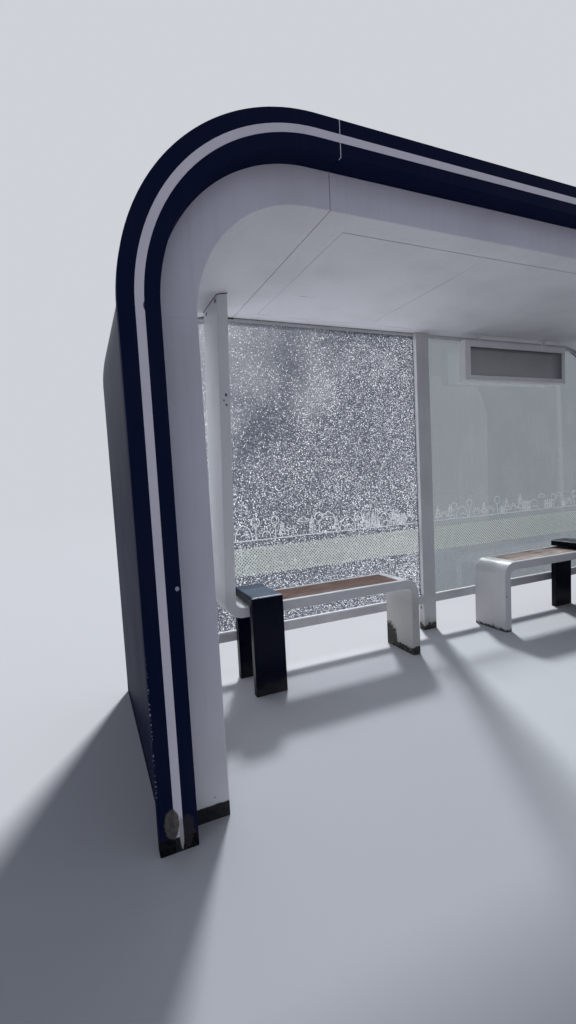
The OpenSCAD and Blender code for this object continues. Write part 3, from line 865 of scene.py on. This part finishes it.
def cut_box(target, low, high):
    """Takes a box out of a piece, as a saw or a router would."""
    bpy.ops.mesh.primitive_cube_add(size=1.0)
    cutter = bpy.context.object
    cutter.scale = [b - a for a, b in zip(low, high)]
    cutter.location = [(a + b) / 2 for a, b in zip(low, high)]
    bpy.context.view_layer.update()
    step = target.modifiers.new("opening", "BOOLEAN")
    step.operation, step.solver, step.object = "DIFFERENCE", "EXACT", cutter
    with bpy.context.temp_override(object=target, active_object=target, selected_objects=[target]):
        bpy.ops.object.modifier_move_to_index(modifier=step.name, index=0)
        bpy.ops.object.modifier_apply(modifier=step.name)
    bpy.data.objects.remove(cutter)
    target.data.set_sharp_from_angle(angle=SHARP)


print("edges up to", round(math.degrees(SHARP)), "degrees are shaded soft")

# %% Outlines and lofts
def soft_corners(points, radii, steps=3):
    """Rounds the corners of a closed outline. A radius of 0 leaves a corner sharp."""
    outline = []
    for i, here in enumerate(points):
        here, r = Vector(here), radii[i]
        if r <= 0:
            outline.append(here)
            continue
        back = (Vector(points[i - 1]) - here).normalized()
        ahead = (Vector(points[(i + 1) % len(points)]) - here).normalized()
        half = back.angle(ahead) / 2
        centre = here + (back + ahead).normalized() * r / math.sin(half)
        first = here + back * r / math.tan(half) - centre
        last = here + ahead * r / math.tan(half) - centre
        sweep_angle = first.angle_signed(last)
        for s in range(steps + 1):
            turn = -sweep_angle * s / steps
            c, q = math.cos(turn), math.sin(turn)
            outline.append(centre + Vector((first.x * c - first.y * q, first.x * q + first.y * c)))
    return outline


def loft(rings):
    """Skins a row of rings, each a list of points, into a closed tube."""
    bm = bmesh.new()
    rows = [[bm.verts.new(point) for point in ring] for ring in rings]
    for a, b in zip(rows, rows[1:]):
        for i in range(len(a)):
            j = (i + 1) % len(a)
            bm.faces.new((a[i], a[j], b[j], b[i]))
    bm.faces.new(rows[0])
    bm.faces.new(rows[-1])
    bmesh.ops.recalc_face_normals(bm, faces=bm.faces)
    return bm


tried = soft_corners([(0, 0), (1, 0), (1, 1), (0, 1)], [0.1] * 4)
print("a square with soft corners has", len(tried), "points")

# %% [markdown]
# ### The clad frame
# The fascia and the white lining are two folded sections that run up one end, round a corner of constant
# radius and along the roof. A curve with a bevel profile would do the same, but would make its own ends.
# As the cladder bends one profile along the whole frame, one section here is lofted along stations on
# that path. A station is a point on the outer edge and the direction inwards from it.

# %% Stations along the frame
leg_low, leg_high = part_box("fascia_left_leg")
corner_low, corner_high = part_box("fascia_left_corner")
front, half_length, top = leg_low.y, -leg_low.x, corner_high.z
spring, leg_top = corner_low.z, leg_high.z
big_radius = top - spring
corner_end = -corner_high.x
face_width, return_depth = leg_high.x - leg_low.x, leg_high.y - leg_low.y
SIDES = ((-1, "left"), (1, "right"))
CORNER_STEPS = 56


def leg_stations(side, z0, z1):
    return [((side * half_length, z), (-side, 0.0)) for z in (z0, z1)]


def corner_stations(side):
    cx = side * (half_length - big_radius)
    row = []
    for s in range(CORNER_STEPS + 1):
        a = math.pi / 2 * s / CORNER_STEPS
        out = (side * math.cos(a), math.sin(a))
        row.append(((cx + out[0] * big_radius, spring + out[1] * big_radius), (-out[0], -out[1])))
    return row + [((side * corner_end, top), (0.0, -1.0))]


def roof_stations(x0, x1):
    return [((x, top), (0.0, -1.0)) for x in (x0, x1)]


def along(section, stations):
    """Lofts a u-v section, u inwards from the outer edge and v back from the front, along the stations."""
    return loft([[(x + ix * u, front + v, z + iz * u) for u, v in section] for (x, z), (ix, iz) in stations])


print("corner radius", round(big_radius, 4), "corner ends at", round(corner_end, 4))

# %% [markdown]
# ### The fascia
# The fascia's section is one sheet with a groove for the stripe, a short return behind its outer edge and
# a deep one under its inner edge. Each fold has its own small radius. A bevel over the whole piece would
# round them all alike, so the radii are given corner by corner. Between a corner piece and the beam a
# pale strip shows.

# %% Fascia with its folded edges
FIT = 0.3 * MM
SHEET = 0.020
LIP, LIP_DEPTH = 0.027, 0.052
GROOVE_FROM, GROOVE_TO, GROOVE_DEPTH = 0.059, 0.092, 0.003
OUTER_FOLD, INNER_FOLD, BACK_FOLD, GROOVE_EDGE = 4 * MM, 3.5 * MM, 2 * MM, 0.8 * MM
SEAM = 0.004
SHIM = 0.8 * MM

fascia_outline = soft_corners(
    [(0, 0), (GROOVE_FROM, 0), (GROOVE_FROM, GROOVE_DEPTH), (GROOVE_TO, GROOVE_DEPTH), (GROOVE_TO, 0),
     (face_width, 0), (face_width, return_depth), (face_width - SHEET, return_depth),
     (face_width - SHEET, SHEET), (LIP - FIT, SHEET), (LIP - FIT, LIP_DEPTH), (0, LIP_DEPTH)],
    [OUTER_FOLD, GROOVE_EDGE, 0, 0, GROOVE_EDGE, INNER_FOLD, BACK_FOLD, 0, 0, 0, BACK_FOLD, BACK_FOLD])
strip_outline = [(SHIM, SHIM), (face_width - SHIM, SHIM),
                 (face_width - SHIM, SHEET - SHIM), (SHIM, SHEET - SHIM)]
beam_end = corner_end - FIT
for side, word in SIDES:
    piece(f"folded_fascia_leg_{word}", along(fascia_outline, leg_stations(side, 0.0, leg_top)),
          "fascia", [f"fascia_{word}_leg"])
    piece(f"folded_fascia_corner_{word}", along(fascia_outline, corner_stations(side)),
          "fascia", [f"fascia_{word}_corner"])
piece("folded_fascia_beam", along(fascia_outline, roof_stations(SEAM - beam_end, beam_end - SEAM)),
      "fascia", ["fascia_beam"])
for side, word in SIDES:
    ends = sorted((side * (corner_end - SEAM), side * corner_end))
    piece(f"joint_strip_{word}", along(strip_outline, roof_stations(*ends)), "stripe")
print("fascia section of", len(fascia_outline), "points, beam to", round(beam_end - SEAM, 4))

# %% [markdown]
# ### The white lining
# Behind the fascia a white sheet turns once: its narrow face looks forward and its broad one lines the
# room. The corner pieces and the end walls are that plain fold. Over the roof the broad face is only a
# border round the ceiling panels, so an opening is cut into the same loft.

# %% Lining
LINING_FOLD, LINING_BACK_FOLD = 5 * MM, 3 * MM
LINING_JOINT = 0.003
PANEL_GAP = 0.6 * MM
SHADOW_GAP = 2.5 * MM

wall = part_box("lining_left_wall")[1].x + half_length
lining_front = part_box("lining_left_wall")[0].y - front
lining_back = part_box("lining_left_wall")[1].y - front
lining_outline = soft_corners(
    [(face_width - SHEET, lining_front), (wall, lining_front), (wall, lining_back),
     (wall - SHEET, lining_back), (wall - SHEET, lining_front + SHEET),
     (face_width - SHEET, lining_front + SHEET)],
    [0, LINING_FOLD, 0, 0, LINING_BACK_FOLD, 0], 4)
for side, word in SIDES:
    piece(f"end_lining_{word}", along(lining_outline, leg_stations(side, 0.0, leg_top)),
          "lining", [f"lining_{word}_wall"])
    piece(f"corner_lining_{word}", along(lining_outline, corner_stations(side)),
          "lining", [f"lining_{word}_corner"])
roof = roof_stations(LINING_JOINT - beam_end, beam_end - LINING_JOINT)
border = piece("roof_lining", along(lining_outline, roof), "lining", ["ceiling_frame"])
field_low, field_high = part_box("ceiling_panels")
cut_box(border, (field_low.x - PANEL_GAP, field_low.y - SHADOW_GAP, field_low.z - 0.05),
        (field_high.x + PANEL_GAP, field_high.y + PANEL_GAP, field_high.z + 0.05))
print("lining wall", round(wall, 4), "field", [round(v, 3) for v in (*field_low, *field_high)])

# %% [markdown]
# ## The benches
# Each bench is one ribbon, a flat box welded from steel sheet: it hangs from the roof as a leaning fin,
# turns into the seat and turns down again into a foot. Its long edges are soft, which shows as a bright
# line along the seat. A bevel would fail where the fin meets the round lining at a slant. So a rounded
# rectangle is lofted along the ribbon, its first ring lies on the lining's curve, and a pocket for the
# seat board is cut into it afterwards.

# %% The ribbon's path
RIBBON_SHEET = 0.068
BEND = 0.113
RIBBON_EDGE = 0.008
BOARD_SINK = 0.003
LEAN = math.tan(math.radians(2))
BEND_STEPS = 14
FIRST_GUESS, TRIES = 2.5, 6

ribbon_low, ribbon_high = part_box("bench_left_ribbon")
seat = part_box("bench_left_board")[1].z + BOARD_SINK
fin_bend = (ribbon_low.x + BEND, seat - RIBBON_SHEET + BEND)
foot_bend = (ribbon_high.x - BEND, seat - BEND)
ribbon_depth = ribbon_high.y - ribbon_low.y
inner_radius = big_radius - wall


def lining_height(x):
    """Underside of the lining over a point of the left bench."""
    away = min(0.0, x + half_length - big_radius)
    return spring + math.sqrt(inner_radius ** 2 - away ** 2) - FIT


def fin_side(z):
    """The outer side of the leaning fin at a height."""
    return fin_bend[0] - BEND + (z - fin_bend[1]) * LEAN


def turn_at(centre, radii, a0, a1):
    """Pairs of points round one bend, each pair across the sheet, between two angles."""
    angles = [a0 + (a1 - a0) * s / BEND_STEPS for s in range(BEND_STEPS + 1)]
    return [[(centre[0] + r * math.cos(a), centre[1] + r * math.sin(a)) for r in radii] for a in angles]


print("ribbon from", round(fin_bend[0], 3), "to", round(ribbon_high.x, 3))

# %% Ribbons
def fin_top(outline):
    """The first ring, walked up the slanting fin to the lining in a few tries a point."""
    ring = []
    for across, y in outline:
        z = FIRST_GUESS
        for _ in range(TRIES):
            x = fin_side(z) + across
            z = lining_height(x)
        ring.append((x, ribbon_low.y + y, z))
    return ring


def ribbon_rings():
    """Rings from the top of the left fin to its foot. Each point is a share across the sheet and a depth."""
    outline = soft_corners([(0, 0), (RIBBON_SHEET, 0), (RIBBON_SHEET, ribbon_depth), (0, ribbon_depth)],
                           [RIBBON_EDGE] * 4, 3)
    pairs = turn_at(fin_bend, (BEND, BEND - RIBBON_SHEET), math.pi, 1.5 * math.pi)
    pairs += turn_at(foot_bend, (BEND - RIBBON_SHEET, BEND), 0.5 * math.pi, 0.0)
    pairs.append([(ribbon_high.x - RIBBON_SHEET, 0.0), (ribbon_high.x, 0.0)])
    rings = [fin_top(outline)]
    for (ax, az), (bx, bz) in pairs:
        rings.append([(ax + (bx - ax) * across / RIBBON_SHEET, ribbon_low.y + y,
                       az + (bz - az) * across / RIBBON_SHEET) for across, y in outline])
    return rings


for side, word in SIDES:
    rings = [[(-side * x, y, z) for x, y, z in ring] for ring in ribbon_rings()]
    ribbon = piece(f"welded_ribbon_{word}", loft(rings), "bench_white", [f"bench_{word}_ribbon"])
    low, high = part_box(f"bench_{word}_board")
    cut_box(ribbon, (low.x - FIT, low.y - FIT, low.z - FIT), (high.x + FIT, high.y + FIT, seat + 0.05))
    print(ribbon.name, len(ribbon.data.polygons), "faces")

# %% [markdown]
# ### Boards, supports and rear legs
# These are straight pieces with a broken edge. A box is drawn from the node's own corners, so it can't
# drift from the model, and a narrow bevel does what a file does on the bench. The dark support is a long
# L, folded from one bar, and its worn front rim is rounder than the rest.

# %% Straight pieces with broken edges
BOARD_EDGE, SUPPORT_EDGE = 0.002, 0.0025
SUPPORT_THICK, SUPPORT_CORNER, SUPPORT_RIM = 0.051, 0.016, 0.006
FOLDED = 0.9


def block(low, high):
    """A plain box between two corners."""
    bm = bmesh.new()
    bmesh.ops.create_cube(bm, size=1.0)
    for vert in bm.verts:
        vert.co = [low[i] if vert.co[i] < 0 else high[i] for i in range(3)]
    return bm


def folded(edge):
    """Whether the faces beside an edge meet at more than about 50 degrees."""
    return edge.calc_face_angle(0.0) > FOLDED


def lies_at(edge, i, value):
    """Whether both ends of an edge have this coordinate."""
    return all(abs(vert.co[i] - value) < SAME_POINT for vert in edge.verts)


def break_edges(bm, width, segments=2, chosen=folded):
    """Bevels the chosen edges of a mesh."""
    edges = [edge for edge in bm.edges if chosen(edge)]
    bmesh.ops.bevel(bm, geom=edges, offset=width, segments=segments, profile=0.5, affect="EDGES",
                    clamp_overlap=True)
    return bm


print("edges broken by", BOARD_EDGE / MM, "to", SUPPORT_RIM / MM, "mm")

# %% Boards, supports and legs
def support_shape(low, high):
    """A leg and a top plate folded from one bar: a long L, seen from its end, with rounded upper corners."""
    y0, y1, z1 = low.y, high.y, high.z
    inside_y, inside_z = y0 + SUPPORT_THICK, z1 - SUPPORT_THICK
    outline = [(y0, 0.0), (inside_y, 0.0), (inside_y, inside_z), (y1, inside_z), (y1, z1), (y0, z1)]
    bm = loft([[(x, y, z) for y, z in outline] for x in (low.x, high.x)])
    break_edges(bm, SUPPORT_CORNER, 5,
                lambda edge: lies_at(edge, 2, z1) and lies_at(edge, 0, edge.verts[0].co.x))
    break_edges(bm, SUPPORT_RIM, 3, lambda edge: lies_at(edge, 1, y0) and folded(edge))
    return break_edges(bm, SUPPORT_EDGE)


for side, word in SIDES:
    board, support, leg = [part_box(f"bench_{word}_{part}") for part in ("board", "support", "rear_leg")]
    piece(f"seat_board_{word}", break_edges(block(*board), BOARD_EDGE), "seat_wood", [f"bench_{word}_board"])
    piece(f"front_support_{word}", support_shape(*support), "bench_dark", [f"bench_{word}_support"])
    piece(f"rear_support_{word}", break_edges(block(*leg), SUPPORT_EDGE), "bench_dark",
          [f"bench_{word}_rear_leg"])
    print(word, "board", round(board[1].x - board[0].x, 3), "long, support", round(support[1].z, 3), "high")

# %% [markdown]
# ## The sign box
# A shallow sheet-metal case with a sunk screen hangs from two tubes behind the fascia. Its edges are a
# little rounded by the paint. Four strips round the screen would leave seams at the corners, so the case
# is one block and its opening is cut right through to the screen, as in the model.

# %% Sign case
CASE_EDGE = 0.003

case_low, case_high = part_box("sign_box")
screen_low, screen_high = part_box("sign_screen")
case = piece("sign_case", break_edges(block(case_low, case_high), CASE_EDGE, 3), "sign_case", ["sign_box"])
cut_box(case, (screen_low.x - FIT, case_low.y - 0.05, screen_low.z - FIT),
        (screen_high.x + FIT, screen_high.y + FIT, screen_high.z + FIT))
print("sign case", [round(v, 3) for v in (*case_low, *case_high)])

# %% [markdown]
# ## Films on the panes
# The pierced band is a frosted sheet with staggered round holes, 26 millimetres apart in a row. Its holes
# are real ones, so it looks right from both sides. Cutting them one by one with a boolean would take
# minutes. So the mesh is a chequerboard of small cells, and every second cell carries a hole, drawn as a
# ring of eight faces.

# %% Pierced band
CELL = 0.013
BAND_FOOT, BAND_ROWS = 0.690, 16
HOLE_RADIUS = 0.0063
FILM_THICKNESS = 0.2 * MM
film_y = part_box("glass_left")[0].y - 0.4 * MM
inside_edge = half_length - wall - 0.025
post_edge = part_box("mid_post")[1].x + 0.004


def band_mesh(x0, x1):
    bm = bmesh.new()
    found = {}

    def vert(x, z):
        key = (round(x * 1e5), round(z * 1e5))
        if key not in found:
            found[key] = bm.verts.new((x, film_y, z))
        return found[key]

    columns = int((x1 - x0) / CELL)
    start = (x0 + x1 - columns * CELL) / 2
    h = CELL / 2
    around = [(h, 0), (h, h), (0, h), (-h, h), (-h, 0), (-h, -h), (0, -h), (h, -h)]
    turns = [math.pi * k / 4 for k in range(8)]
    inside = [(HOLE_RADIUS * math.cos(a), HOLE_RADIUS * math.sin(a)) for a in turns]
    for i in range(columns):
        for j in range(BAND_ROWS):
            cx, cz = start + (i + 0.5) * CELL, BAND_FOOT + (j + 0.5) * CELL
            rim = [vert(cx + x, cz + z) for x, z in around]
            if (i + j) % 2:
                bm.faces.new(rim)
                continue
            hole = [vert(cx + x, cz + z) for x, z in inside]
            for k in range(8):
                bm.faces.new((rim[k], rim[(k + 1) % 8], hole[(k + 1) % 8], hole[k]))
    return bm


print("band of", BAND_ROWS, "rows,", round(BAND_ROWS * CELL, 3), "high")

# %% The band on both panes
def hang_film(name, bm, film):
    """Films ride with the shelter and are two tenths of a millimetre thick."""
    made = piece(name, bm, "glass")
    made.data.materials[0] = film
    thick = made.modifiers.new("film", "SOLIDIFY")
    thick.thickness = FILM_THICKNESS
    print(name, len(made.data.polygons), "faces")


def pane_span(side):
    """Where the films of a bay begin and end, from left to right."""
    return sorted((side * inside_edge, side * post_edge))


for side, word in SIDES:
    hang_film(f"pierced_band_{word}", band_mesh(*pane_span(side)), band_film)

# %% [markdown]
# ### The line drawing
# Over the band runs a frieze in single white lines. The drawing here is a walk through the country that
# was made up for this part, in an order that a seeded draw picks. Text or curve objects would have to be
# converted one by one, so one pen does it all: each motif is a few rows of points, a width and a height,
# and the pen lays a strip of constant width along them, with mitred turns.

# %% What the pen draws
def arc(cx, cz, r, start, stop, steps=12, squash=1.0):
    """Points on a circle or, squashed, on an ellipse. Angles are in degrees."""
    turns = [math.radians(start + (stop - start) * s / steps) for s in range(steps + 1)]
    return [(cx + r * math.cos(a), cz + r * squash * math.sin(a)) for a in turns]


def fir(w, h):
    lines = [[(0, 0), (0, h * 0.18)]]
    for tier in range(3):
        base, half = h * (0.18 + 0.22 * tier), w * (0.5 - 0.11 * tier)
        lines.append([(-half, base), (0, base + h * 0.34), (half, base), (-half, base)])
    return lines


def round_tree(w, h):
    return [[(0, 0), (0, h * 0.62)], arc(0, h - w / 2, w / 2, -90, 270, 16),
            [(-w * 0.2, h * 0.62), (0, h * 0.42), (w * 0.2, h * 0.68)]]


def hill(w, h):
    return [arc(0, 0, w / 2, 0, 180, 18, 2 * h / w), arc(w * 0.06, 0, w * 0.3, 30, 140, 8, 1.3 * h / w)]


def fence(w, h):
    posts = [[(x, 0), (x, h * 0.5), (x + w / 16, h * 0.58), (x + w / 8, h * 0.5), (x + w / 8, 0)]
             for x in (-w / 2, -w * 0.19, w * 0.12, w * 0.375)]
    return posts + [[(-w / 2 - 0.01, h * 0.3), (w / 2 + 0.01, h * 0.3)]]


def low_sun(w, h):
    rays = [[(math.cos(a) * r0 * w, h * 0.2 + math.sin(a) * r0 * w) for r0 in (0.36, 0.5)]
            for a in [math.radians(20 + 28 * i) for i in range(6)]]
    return [arc(0, h * 0.2, w * 0.27, -20, 200, 14)] + rays


def puff(w, h):
    base = h * 0.66
    return [[(-w / 2, base), (w / 2, base)], arc(-w * 0.25, base, w * 0.22, 180, 40, 8),
            arc(0.02 * w, base + w * 0.12, w * 0.22, 170, 10, 8), arc(w * 0.3, base, w * 0.18, 120, 0, 8)]


def reeds(w, h):
    return [[(x * w, 0), (x * w + lean_x * w, h * tall)] for x, lean_x, tall in
            ((-0.4, -0.1, 0.45), (-0.2, 0.0, 0.7), (0.0, 0.08, 0.52), (0.2, -0.04, 0.8), (0.4, 0.1, 0.5))]


MOTIFS = [(fir, 0.064, 0.150), (round_tree, 0.066, 0.150), (hill, 0.130, 0.105), (fence, 0.090, 0.150),
          (low_sun, 0.115, 0.130), (puff, 0.110, 0.165), (reeds, 0.060, 0.150), (fir, 0.052, 0.125)]
print(len(MOTIFS), "motifs")

# %% The pen
PEN = 0.0060
SHARPEST_MITRE = 0.35


def stroke(bm, points, depth):
    """One pen line as a mitred strip."""
    points = [Vector(p) for p in points]
    closed = (points[0] - points[-1]).length < SAME_POINT
    if closed:
        points = points[:-1]
    count = len(points)
    left, right = [], []
    for i, here in enumerate(points):
        before = points[i - 1] if closed or i else here - (points[1] - here)
        after = points[(i + 1) % count] if closed or i < count - 1 else here + (here - points[i - 1])
        a, b = (here - before).normalized(), (after - here).normalized()
        across = Vector((-a.y - b.y, a.x + b.x)).normalized()
        reach = PEN / 2 / max(SHARPEST_MITRE, across.dot(Vector((-a.y, a.x))))
        for row, sign in ((left, 1), (right, -1)):
            corner = here + across * reach * sign
            row.append(bm.verts.new((corner.x, film_y - depth, corner.y)))
    for i in range(count if closed else count - 1):
        j = (i + 1) % count
        bm.faces.new((left[i], left[j], right[j], right[i]))


print("pen", PEN / MM, "mm wide")

# %% Frieze
FRIEZE_FOOT = 0.950
FIRST_MOTIF, LAST_ROOM = 0.05, 0.12
LAYER = 0.02 * MM


def frieze(name, x0, x1, seed):
    """Motifs side by side over a base line. Crossing lines lie a hair apart, so that they don't flicker."""
    draw = random.Random(seed)
    bm = bmesh.new()
    x, last, layer = x0 + FIRST_MOTIF, None, 0
    while x < x1 - LAST_ROOM:
        motif, w, h = draw.choice([m for m in MOTIFS if m[0] is not last])
        last, w, h = motif, w * draw.uniform(0.92, 1.12), h * draw.uniform(0.88, 1.1)
        for line in motif(w, h):
            layer += 1
            stroke(bm, [(x + w / 2 + px, FRIEZE_FOOT + PEN + pz) for px, pz in line], LAYER * (layer % 5))
        x += w + draw.uniform(-0.016, 0.004)
    stroke(bm, [(x0, FRIEZE_FOOT), (x1, FRIEZE_FOOT)], 0.0)
    hang_film(name, bm, line_film)


for seed, (side, word) in zip((10, 12), SIDES):
    frieze(f"drawn_frieze_{word}", *pane_span(side), seed)

# %% [markdown]
# ## Sealant
# The joints under the ceiling were closed from a cartridge, by hand: a bead that swells and thins, runs
# along the head of the left pane and round the top of the fin, and has left two thick ends beside it. A
# curve with one bevel would be as even as a cable, so each bead is a thin tube whose width wanders with a
# seeded draw.

# %% Beads of sealant
BEAD_STEP = 0.02
FIN_BEAD_LEVEL = 2.537


def bead(name, points, width, seed, wander=0.35):
    draw = random.Random(seed)
    path = [Vector(p) for p in points]
    rings = []
    for a, b in zip(path, path[1:]):
        count = max(2, int((b - a).length / BEAD_STEP))
        along_line = (b - a).normalized()
        sideways = along_line.cross(Vector((0.3, 0.2, 1.0))).normalized()
        up = sideways.cross(along_line)
        for s in range(count + (b is path[-1])):
            r = width / 2 * (1 + draw.uniform(-wander, wander))
            centre = a.lerp(b, s / count)
            rings.append([centre + (sideways * math.cos(t) + up * math.sin(t)) * r
                          for t in [math.pi * k / 3 for k in range(6)]])
    made = piece(name, loft(rings), "frame_steel")
    made.data.materials[0] = rubber
    print(name, len(made.data.polygons), "faces")


fin_out = fin_side(FIN_BEAD_LEVEL)
fin_in = fin_out + RIBBON_SHEET
out_z, in_z = [lining_height(x) - 1 * MM for x in (fin_out, fin_in)]
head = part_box("ceiling_panels")[0].z - 1 * MM
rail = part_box("head_rails")[0].y
proud = rail - 1 * MM
round_fin = [(fin_in, ribbon_low.y, in_z), (fin_out, ribbon_low.y, out_z), (fin_out, ribbon_high.y, out_z)]
along_head = [(-1.66, rail, head), (-0.07, rail, head)]
right_of_fin = [(-1.735, proud, head - 4 * MM), (-1.65, proud, head - 3 * MM)]
left_of_fin = [(-1.925, proud, head - 22 * MM), (-1.86, proud, head - 9 * MM)]
bead("sealant_fin", round_fin, 0.006, 3)
bead("sealant_head", along_head, 0.004, 5)
bead("sealant_head_right_of_fin", right_of_fin, 0.013, 7, 0.45)
bead("sealant_head_left_of_fin", left_of_fin, 0.014, 9, 0.45)
